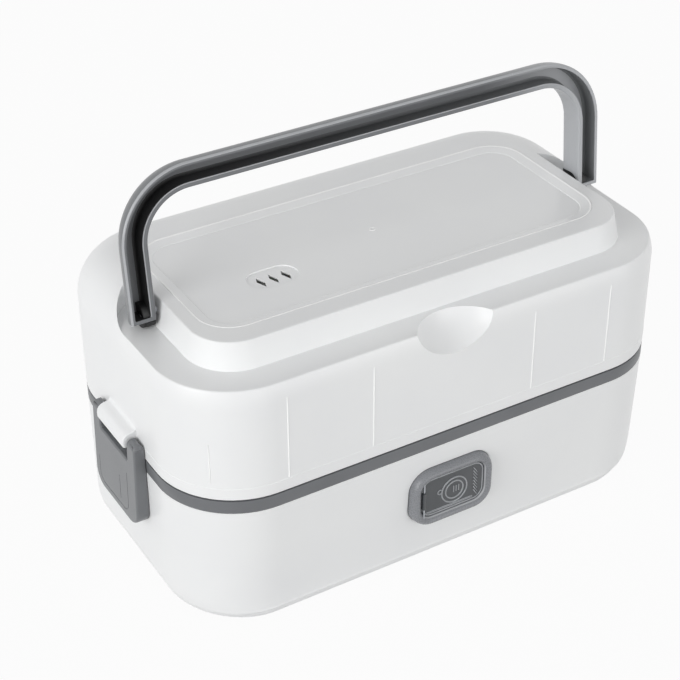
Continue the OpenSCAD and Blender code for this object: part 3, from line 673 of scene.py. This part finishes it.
# rows are (radius, height), from the outer foot over the rim and down the strip to the field
panelRows = [(16.15, panel["low"]), (16.15, 133.5), (16.1, 133.7), (15.95, 133.82), (15.75, 133.85),
             (15.55, 133.8), (15.35, 133.66), (15.1, 133.48), (11.3, 132.62), (11.05, 132.5),
             (10.95, 132.3), (10.6, panel["face"]), (4.0, panel["face"])]
topPanel = ringBody("topPanel", planPath(panel["core"], 14, (0, panel["y"])), lambda dx, dy: panelRows,
                    closed=False, finish=panelAbs)
cut(topPanel, prism("ventBed", roundedOutline(*panel["ventSize"], 12, *lid["vent"]),
                    panel["face"] - panel["ventDeep"], 140, topView))
for i in (-1, 0, 1):
    sx, sy = lid["vent"][0] + i * panel["slotPitch"], lid["vent"][1]
    cut(topPanel, prism("slot", [(sx + x, sy + y) for x, y in panel["slot"]], 120, 140, topView))
soften(topPanel, 0.14, angle=32, segments=2)
# painted highlight: the rim's crest takes the whiter line finish
dress(topPanel, lineHighlightAbs, lambda x, y, z: z > panel["rimLow"])
ridesOn(topPanel, "lid", "panel_gloss", "top_panel")
gateX, gateY = panel["gate"]
gateR = panel["gateR"]
gatePath = [(gateX + sx * gateR, gateY + sy * gateR, panel["face"] - 0.1) for sx, sy in quarters]
# painted highlight: the gate mark takes the whiter line finish
gateMark = alongPath("gateMark", gatePath, eased(rectangle(0, 0.3, -0.55, 0), 0.14, 2), gateR - 0.01, 8, (0, 0, 1),
                     lineHighlightAbs)
ridesOn(gateMark, "lid", "panel_gloss")
print("top panel:", len(topPanel.data.polygons), "faces")


# Handle: one arch whose open channel faces forward, leaning back about its pivots

handle = {"half": 106.6, "rise": 51.1, "bend": 20.4, "width": 11.1, "front": -5.7, "back": 6.0, "low": -1.5,
          "channelFloor": 2.3, "channelLow": 0.2, "channelIn": 2.4, "channelOut": 9.3, "lean": 5.7,
          "roundDeep": 10.2, "roundHigh": 8.5, "seatR": 4.85, "seatX": (104.6, 112.1)}


def archPath(half, rise, low):
    return [(-half, 0, low), (-half, 0, rise), (half, 0, rise), (half, 0, low)]


f, b, w = handle["front"], handle["back"], handle["width"]
deep, high = handle["roundDeep"], handle["roundHigh"]
archSection = ([(f + 0.5, 0.0), (f, 0.5), (f, w - 0.8), (f + 0.25, w - 0.25), (f + 0.8, w)]
               + arcPoints(b - deep, w - high, deep, high, 90, 0, 12) + [(b, 0.6), (b - 0.6, 0.0)])
handleBow = alongPath("handleBow", archPath(handle["half"], handle["rise"], handle["low"]), archSection,
                      handle["bend"], 18, (0, 1, 0), handleAbs, cyclic=False)
c0, c1 = handle["channelIn"], handle["channelOut"]
channelSection = [(-12, 0.0), (handle["channelFloor"] - 0.8, 0.0), (handle["channelFloor"], 0.8),
                  (handle["channelFloor"], c1 - c0 - 0.8), (handle["channelFloor"] - 0.8, c1 - c0), (-12, c1 - c0)]
channel = alongPath("channel", archPath(handle["half"] + c0, handle["rise"] + c0, handle["channelLow"]),
                    channelSection, handle["bend"] + c0, 18, (0, 1, 0), handleAbs, cyclic=False)
cut(handleBow, channel)
roundEdges(handleBow, 0.35, angle=35, segments=2, flat=0.05)
# each leg's foot is cut away for the hub that fills it
seatR = handle["seatR"]
seat = arcPoints(0, 0, seatR, seatR, 90, 270, 15) + [(20, -seatR), (20, seatR)]
for side in (-1, 1):
    inner, outer = (side * x for x in handle["seatX"])
    cut(handleBow, prism("seat", seat, inner, outer, endView),
        prism("lowSeat", rectangle(-seatR, 20, -10, 0), inner, outer, endView))
soften(handleBow, 0.0, flat=0.05)


# How far a point of the arch lies outside its inner face
def outward(x, z):
    cx, cz = handle["half"] - handle["bend"], handle["rise"] - handle["bend"]
    if z < cz:
        return abs(x) - handle["half"]
    if abs(x) < cx:
        return z - handle["rise"]
    return math.hypot(abs(x) - cx, z - cz) - handle["bend"]


# painted shade: the inside of the channel takes the dark channel finish
dress(handleBow, channelShadeAbs, lambda x, y, z: f + 0.8 < y < handle["channelFloor"] + 0.3 and z > 0.1
      and c0 - 0.1 < outward(x, z) < c1 + 0.1)
# painted highlight: the outer front edge and the channel's inner edge take the pale edge finish
dress(handleBow, edgeHighlightAbs, lambda x, y, z: (y < f + 0.75 and w - 0.85 < outward(x, z) < w + 0.1)
      or (y < f + 0.5 and c0 - 0.45 < outward(x, z) < c0 + 0.1 and z > 0.5))
pivotY, pivotZ = lid["pivot"]
handleTurn = (Matrix.Translation((0, pivotY * mm, pivotZ * mm))
              @ Matrix.Rotation(math.radians(-handle["lean"]), 4, "X"))
handleBow.data.transform(handleTurn)
ridesOn(handleBow, "handle", "grey_plastic", "handle_frame")
print("handle:", len(handleBow.data.polygons), "faces")


# Latches: a tapering plate with two ears, an engraved panel line and a hollow back

latch = {"back": 122.1, "earTop": 77.2, "frontTop": 126.95, "frontLow": 128.0, "half": 20.9, "low": 34.0,
         "corner": 8.0, "earR": 2.2, "notchHalf": 13.5, "notchZ": 66.3, "notchR": 1.4, "skin": 1.8, "edge": 0.95,
         "hook": (123.4, 126.4, 43.4, 46.6, 12.0), "groove": 0.3, "boreR": 1.45}


# The front leans: how far out it stands at a height
def latchFront(z):
    share = (z - latch["low"]) / (lid["latchPin"][1] - latch["low"])
    return latch["frontLow"] + (latch["frontTop"] - latch["frontLow"]) * share


def makeLatch(name, side):
    half, low, corner = latch["half"], latch["low"], latch["corner"]
    ear, notch, earR, notchR = latch["earTop"], latch["notchHalf"], latch["earR"], latch["notchR"]
    front = (arcPoints(half - corner, low + corner, corner, corner, -90, 0, 10)
             + arcPoints(half - earR, ear - earR, earR, earR, 0, 90, 6)
             + arcPoints(notch + notchR, ear - notchR, notchR, notchR, 90, 180, 5)
             + [(notch, latch["notchZ"] + 0.6), (notch - 0.6, latch["notchZ"])])
    outline = front + [(-y, z) for y, z in reversed(front)]
    px, pz = lid["latchPin"]
    back, top = latch["back"], latch["frontTop"]
    mid = (back + top) / 2
    body = prism(name, outline, side * 116, side * 130, endView, latchAbs)
    # the front takes broad rounded edges before the back is cut to depth
    crown = arcPoints(mid, pz, top - mid, ear - pz, 0, 180, 16)
    face = [(116.5, low - 2), (latchFront(low - 2), low - 2), (top, pz)] + crown[:9] + [(116.5, ear)]
    combine(body, prism("face", [(side * x, z) for x, z in face], -40, 40, sideView), "INTERSECT")
    roundEdges(body, latch["edge"], angle=50, segments=5)
    rear = [(back, low - 5), (back + 12, low - 5), (back + 12, ear + 2), (mid, ear + 2)] + crown[8:]
    combine(body, prism("rear", [(side * x, z) for x, z in rear], -40, 40, sideView), "INTERSECT")
    inner = half - latch["skin"]
    hollow = eased(rectangle(-inner, inner, low + 5.5, 64.5), 3, 4)
    cut(body, prism("hollow", hollow, side * 118, side * 126.1, endView),
        prism("relief", rectangle(-12.6, 12.6, low - 1, low + 7), side * 118, side * 123.1, endView))
    hx0, hx1, hz0, hz1, hy = latch["hook"]
    join(body, prism("hook", rectangle(-hy, hy, hz0, hz1), side * hx0, side * hx1, endView))
    bore = arcPoints(side * px, pz, latch["boreR"], latch["boreR"], 0, 345, 23)
    cut(body, prism("bore", bore, -19.5, 25, sideView))
    # hairline grooves: one follows the plate's rounded bottom, one stands inside it
    g = latch["groove"]
    for points, bend in (([(-12.3, 59.0), (-12.3, 37.6), (16.4, 37.6), (16.4, 50.0)], 4.5),
                         ([(-4.6, 53.0), (-4.6, 40.5)], 0.0)):
        path = [(side * latchFront(z), y, z) for y, z in points]
        groove = alongPath("groove", path, rectangle(-0.22, 0.4, -g / 2, g / 2), bend, 8, (side, 0, 0), latchAbs,
                           cyclic=False)
        cut(body, groove)
    return soften(body, 0.0)


for name, side, body, node in (("latchLeft", -1, "left_latch", "latch_left"),
                               ("latchRight", 1, "right_latch", "latch_right")):
    plate = ridesOn(makeLatch(name, side), body, "grey_plastic", node)
print("latches:", len(plate.data.polygons), "faces each")


# Power inlet: a domed surround, a smoky cover with raised rings and slanted ribs

inlet = {"z": lower["windowHeight"], "mouth": (16.5, 10.3, 5.6), "front": -71.4, "highlightBand": (1.8, 0.42),
         "cover": (16.2, 10.0, 5.3), "coverFront": -69.4, "coverBack": -66.9, "hinge": (-15.3, -70.3),
         "armHalf": 4.4, "armR": 0.9, "hingeR": 0.5,
         "rings": (6.9, 4.9), "ringAt": (0.9, -0.4), "ribs": 8, "ribPitch": 1.75, "ribAt": (12.0, -6.3),
         "ribTurn": 32, "marksX": (-0.4, 0.9, 2.2)}


def inletPath(hx, hz, y, cx=0.0, cz=0.0):
    return [(cx + sx * hx, y, inlet["z"] + cz + sz * hz) for sx, sz in ((-1, -1), (-1, 1), (1, 1), (1, -1))]


# in this plane's sense the section is (towards the back, outward)
ringShape = [(8.0, 0.0), (1.75, 0.0), (1.45, 0.1), (1.1, 0.45), (0.65, 0.9), (0.28, 1.3), (0.06, 1.7), (0.0, 2.0),
             (0.1, 2.5), (0.45, 3.1), (1.1, 3.65), (2.0, 4.05), (3.2, 4.3), (4.6, 4.4), (6.0, 4.4), (6.0, 1.3),
             (8.0, 1.3)]
mouthX, mouthZ, mouthR = inlet["mouth"]
inletSurround = alongPath("inletSurround", inletPath(mouthX, mouthZ, inlet["front"]), ringShape, mouthR, 12,
                          (0, 1, 0), surroundAbs, sharp=38)


# Painted highlight: the mouth's inner edge takes the pale edge finish all round
def onMouthEdge(x, y, z):
    deep, wide = inlet["highlightBand"]
    x, z = abs(x), abs(z - inlet["z"])
    past = math.hypot(max(0, x - mouthX + mouthR), max(0, z - mouthZ + mouthR)) - mouthR
    return y < inlet["front"] + deep and max(x - mouthX, z - mouthZ, past) <= wide


# painted highlight round the mouth's inner edge
dress(inletSurround, edgeHighlightAbs, onMouthEdge)
ridesOn(inletSurround, "base", "grey_plastic", "socket_bezel")


# A raised line of half-round section on the cover's front
def bead(name, hx, hz, r, cx, cz, wide, high):
    turns = [math.pi * i / 6 for i in range(7)]
    section = [(0.3, 0.0)] + [(-high * math.sin(a), -wide * (1 - math.cos(a)) / 2) for a in turns] + [(0.3, -wide)]
    return alongPath(name, inletPath(hx, hz, inlet["coverFront"], cx, cz), section, r, 10, (0, 1, 0), paleCarbonate,
                     sharp=60)


coverX, coverZ, coverR = inlet["cover"]
front, back = inlet["coverFront"], inlet["coverBack"]
inletCover = prism("inletCover", [(u, v + inlet["z"]) for u, v in roundedOutline(coverX, coverZ, coverR, 10)],
                   front, back, sideView, smokyCarbonate)
hx, hy = inlet["hinge"]
armR, hingeR = inlet["armR"], inlet["hingeR"]
arm = arcPoints(hx, hy, armR, armR, 180, 360, 10) + [(hx + 0.7, back - 0.2), (hx - 0.8, back - 0.2)]
join(inletCover, prism("arm", arm, inlet["z"] - inlet["armHalf"], inlet["z"] + inlet["armHalf"], topView))
hingeRing = arcPoints(hx, hy, hingeR, hingeR, 0, 330, 11)
cut(inletCover, prism("hingeBore", hingeRing, inlet["z"] - 6, inlet["z"] + 6, topView))
soften(inletCover, 0.12, angle=40, segments=2)
ridesOn(inletCover, "inlet_cover", "smoky_plastic", "socket_cover")

ringX, ringZ = inlet["ringAt"]
beads = [bead("coverBead", coverX - 0.1, coverZ - 0.1, coverR - 0.1, 0, 0, 0.7, 0.35)]
beads += [bead("coverRing" + str(i), r, r, r - 0.01, ringX, ringZ, 0.7, 0.5) for i, r in enumerate(inlet["rings"])]
beads += [bead("coverLoop", 1.35, 1.35, 1.34, -6.6, 0.9, 0.5, 0.45),
          bead("coverBand", 12.5, 0.55, 0.54, -1.7, -8.2, 0.45, 0.25)]
# each rib is a short stroke falling to the right
ribTurn = math.radians(inlet["ribTurn"])
stroke = [(a * math.cos(ribTurn) - b * math.sin(ribTurn), a * math.sin(ribTurn) + b * math.cos(ribTurn))
          for a, b in eased(rectangle(-0.2, 0.2, -1.9, 1.9), 0.18)]
ribShape = prism("ribShape", stroke, -0.3, 0.1, sideView)
ribPoints = [(inlet["ribAt"][0] - 0.03 * i, front, inlet["z"] + inlet["ribAt"][1] + i * inlet["ribPitch"])
             for i in range(inlet["ribs"])]
coverRibs = onPoints("coverRibs", ribPoints, ribShape, paleCarbonate)
coverRibs.data.shade_smooth()
marks = [(ringX + x, front, inlet["z"] + ringZ + 0.4) for x in inlet["marksX"]]
markShape = prism("markShape", eased(rectangle(-0.22, 0.22, -1.7, 1.7), 0.2), -0.3, 0.1, sideView)
coverMarks = onPoints("coverMarks", marks, markShape, paleCarbonate)
for piece in beads + [coverRibs, coverMarks]:
    ridesOn(piece, "inlet_cover", "smoky_plastic")
print("inlet: surround, cover and", len(beads), "beads")


# Mould lines on the lid: upright ridges on the front and one on the left corner, and a faint level line

lines = {"low": 75.6, "x": (-80, -40, 40, 80), "flank": 0.8, "steep": 0.15, "proud": 0.3, "level": 75.0,
         "corner": (-133.7, 77.8, 96.9), "sunk": 0.3}


# A ridge with a broad and a steep flank; rows are (distance out from the centre, height)
def uprightLine(name, rows):
    verts, faces = [], []
    for out, z in rows:
        foot = lines["sunk"] - out
        verts += [(-lines["flank"], foot, z), (0, -(out + lines["proud"]), z), (lines["steep"], foot, z)]
    for k in range(0, 3 * len(rows) - 3, 3):
        faces += [(k, k + 1, k + 4, k + 3), (k + 1, k + 2, k + 5, k + 4), (k + 2, k, k + 3, k + 5)]
    last = len(verts) - 3
    return makePiece(name, verts, faces + [(0, 2, 1), (last, last + 1, last + 2)], lineHighlightAbs)


frontRows = [(68.5, lines["low"]), (68.5, 100), (68.5, 111.0), (68.36, 114.8)]
# painted highlight: the ridges take the whiter line finish
mouldLines = onPoints("mouldLines", [(x, 0, 0) for x in lines["x"]], uprightLine("lineShape", frontRows), lineHighlightAbs)
angle, foot, head = lines["corner"]
cornerLine = uprightLine("cornerLine", [(lid["radius"], foot), (lid["radius"], head)])
cornerLine.data.transform(Matrix.Translation((-shellCore[0] * mm, -shellCore[1] * mm, 0))
                          @ Matrix.Rotation(math.radians(angle + 90), 4, "Z"))
levelPath = [(sx * band["halfX"], y, lines["level"]) for sx, y in ((-1, 0), (-1, -band["halfY"]),
                                                                    (1, -band["halfY"]), (1, 0))]
levelLine = alongPath("levelLine", levelPath, [(-0.3, -0.3), (0.0, 0.12), (0.3, -0.3)], lid["radius"], cornerSteps,
                      (0, 0, 1), whiteAbs, cyclic=False, sharp=60)
for piece in (mouldLines, cornerLine, levelLine):
    ridesOn(piece, "lid", "white_shell")


# Screws under the base: one crosshead screw copied to each boss

screwRows = [(1.6, 0.9), (2.3, 0.98), (2.6, 1.2), (2.7, 1.5), (2.7, 2.15), (1.28, 2.15), (1.28, 9.6)]
cols = 24
turns = [math.tau * j / cols for j in range(cols)]
screwVerts = [(r * math.cos(a), r * math.sin(a), z) for r, z in screwRows for a in turns]
screwFaces = ringFaces(len(screwRows), cols) + [list(range(cols))[::-1],
                                                list(range(len(screwVerts) - cols, len(screwVerts)))]
screwShape = makePiece("screwShape", screwVerts, screwFaces)
for wide, thin in ((1.5, 0.25), (0.25, 1.5)):
    cut(screwShape, prism("cross", rectangle(-wide, wide, -thin, thin), 0.2, 1.5, topView))
soften(screwShape, 0.06, angle=40, segments=1)
baseScrews = onPoints("baseScrews", [(x, y, 0) for x, y in lower["screws"]], screwShape, zincSteel)
ridesOn(baseScrews, "base", "screw_steel", "bottom_screws")


# Other parts keep their CAD shape: what can be seen when the box is opened gets eased edges

def softCopy(name, node, body, slot, finish, width):
    mesh = nodes[node].data.copy()
    mesh.materials.clear()
    mesh.materials.append(finish)
    ridesOn(soften(addObject(name, mesh), width, angle=35, segments=2, flat=0.5), body, slot, node)


for row in (
    ("underCover", "bottom_cover", "base", "grey_plastic", undersideAbs, 0.25),
    ("feet", "rubber_feet", "base", "black_rubber", footRubber, 0.3),
    ("tub", "heating_tub", "base", "tub_aluminium", tubAluminium, 0.25),
    ("socketBody", "inlet_socket", "base", "black_plastic", blackAbs, 0.2),
    ("contactPins", "inlet_pins", "base", "pin_brass", pinBrass, 0.25),
    ("foodContainer", "food_container", "container", "food_steel", foodSteel, 0.25),
    ("containerLid", "container_lid", "inner_lid", "clear_grey_plastic", trayPolypropylene, 0.35),
    ("containerSeal", "container_seal", "inner_lid", "silicone", sealSilicone, 0.15),
    ("ventPlug", "steam_plug", "plug", "silicone", plugSilicone, 0.3),
    ("sideTray", "upper_tray", "tray", "clear_grey_plastic", trayPolypropylene, 0.3),
    ("baffle", "steam_baffle", "lid", "white_shell", trayPolypropylene, 0.25),
    ("gasket", "lid_gasket", "lid", "silicone", sealSilicone, 0.25),
    ("pivotHubs", "handle_hubs", "handle", "black_plastic", blackAbs, 0.3),
    ("pivotPins", "handle_pins", "lid", "screw_steel", zincSteel, 0.25)):
    softCopy(*row)

cadFinishes = {"heating_plate": tubAluminium, "ptc_heater": heaterCeramic, "insulation_pad": padFibre,
               "heater_clamp": zincSteel, "clamp_screws": zincSteel, "thermostat": phenolic,
               "thermal_fuse": sealSilicone, "heater_leads": wireSleeve, "cover_hinge_pin": zincSteel,
               "latch_pin_left": zincSteel, "latch_pin_right": zincSteel}
for node, finish in cadFinishes.items():
    for place in nodes[node].material_slots:
        place.material = finish
print("inner parts dressed")


# Pale floor and plain studio light

studio = {"floor": "#c2c2c2", "floorShade": 0.05, "horizon": 1.0, "zenith": 0.33,
          "lamps": (("leftKey", (-1.6, -0.5, 0.6), (1.1, 1.1), 12.6),
                    ("frontFill", (0.6, -1.9, 0.45), (1.3, 1.0), 7.4),
                    ("topSoft", (-0.2, 0.5, 1.9), (1.4, 1.4), 0.3)), "aim": (0, 0, 0.08)}


# Rays that show the surroundings: straight to the camera, mirrored, or through the smoky cover
def shownRays(tree):
    path = addNode(tree, "ShaderNodeLightPath")
    pair = addNode(tree, "ShaderNodeMath", {"operation": "MAXIMUM"},
                   {0: path.outputs["Is Camera Ray"], 1: path.outputs["Is Transmission Ray"]})
    return addNode(tree, "ShaderNodeMath", {"operation": "MAXIMUM"},
                   {0: pair.outputs["Value"], 1: path.outputs["Is Glossy Ray"]})


floorMesh = bpy.data.meshes.new("floor")
floorMesh.from_pydata([(-6, -6, 0), (6, -6, 0), (6, 6, 0), (-6, 6, 0)], [], [(0, 1, 2, 3)])
floor = addObject("floor", floorMesh)
paper = bpy.data.materials.new("floorPaper")
paper.use_nodes = True
tree = paper.node_tree
tree.nodes.clear()
seen = shownRays(tree)
share = addNode(tree, "ShaderNodeMath", {"operation": "MULTIPLY"},
                {0: seen.outputs["Value"], 1: 1.0 - studio["floorShade"]})
matt = addNode(tree, "ShaderNodeBsdfDiffuse", inputs={"Color": linear(studio["floor"])})
glow = addNode(tree, "ShaderNodeEmission", inputs={"Color": (1, 1, 1, 1), "Strength": 1.0})
both = addNode(tree, "ShaderNodeMixShader", inputs={0: share.outputs["Value"], 1: matt.outputs["BSDF"],
                                                   2: glow.outputs["Emission"]})
addNode(tree, "ShaderNodeOutputMaterial", inputs={"Surface": both.outputs["Shader"]})
floorMesh.materials.append(paper)

world = bpy.data.worlds.new("studio")
bpy.context.scene.world = world
world.use_nodes = True
tree = world.node_tree
tree.nodes.clear()
seen = shownRays(tree)
# the sky that lights the object is brighter at the sides than overhead
height = addNode(tree, "ShaderNodeSeparateXYZ", inputs={
    "Vector": addNode(tree, "ShaderNodeTexCoord").outputs["Generated"]})
fade = addNode(tree, "ShaderNodeMapRange", inputs={"Value": height.outputs["Z"], "To Min": studio["horizon"],
                                                  "To Max": studio["zenith"]})
strength = addNode(tree, "ShaderNodeMapRange", inputs={"Value": seen.outputs["Value"],
                                                      "To Min": fade.outputs["Result"], "To Max": 1.0})
sky = addNode(tree, "ShaderNodeBackground", inputs={"Color": (1, 1, 1, 1), "Strength": strength.outputs["Result"]})
addNode(tree, "ShaderNodeOutputWorld", inputs={"Surface": sky.outputs["Background"]})

for name, place, size, power in studio["lamps"]:
    lamp = bpy.data.lights.new(name, "AREA")
    lamp.shape, lamp.size, lamp.size_y, lamp.energy = "RECTANGLE", size[0], size[1], power
    aim = (Vector(studio["aim"]) - Vector(place)).to_track_quat("-Z", "Y")
    addObject(name, lamp).matrix_world = Matrix.Translation(Vector(place)) @ aim.to_matrix().to_4x4()

bpy.context.scene.view_settings.view_transform = "Standard"
print("studio lit")
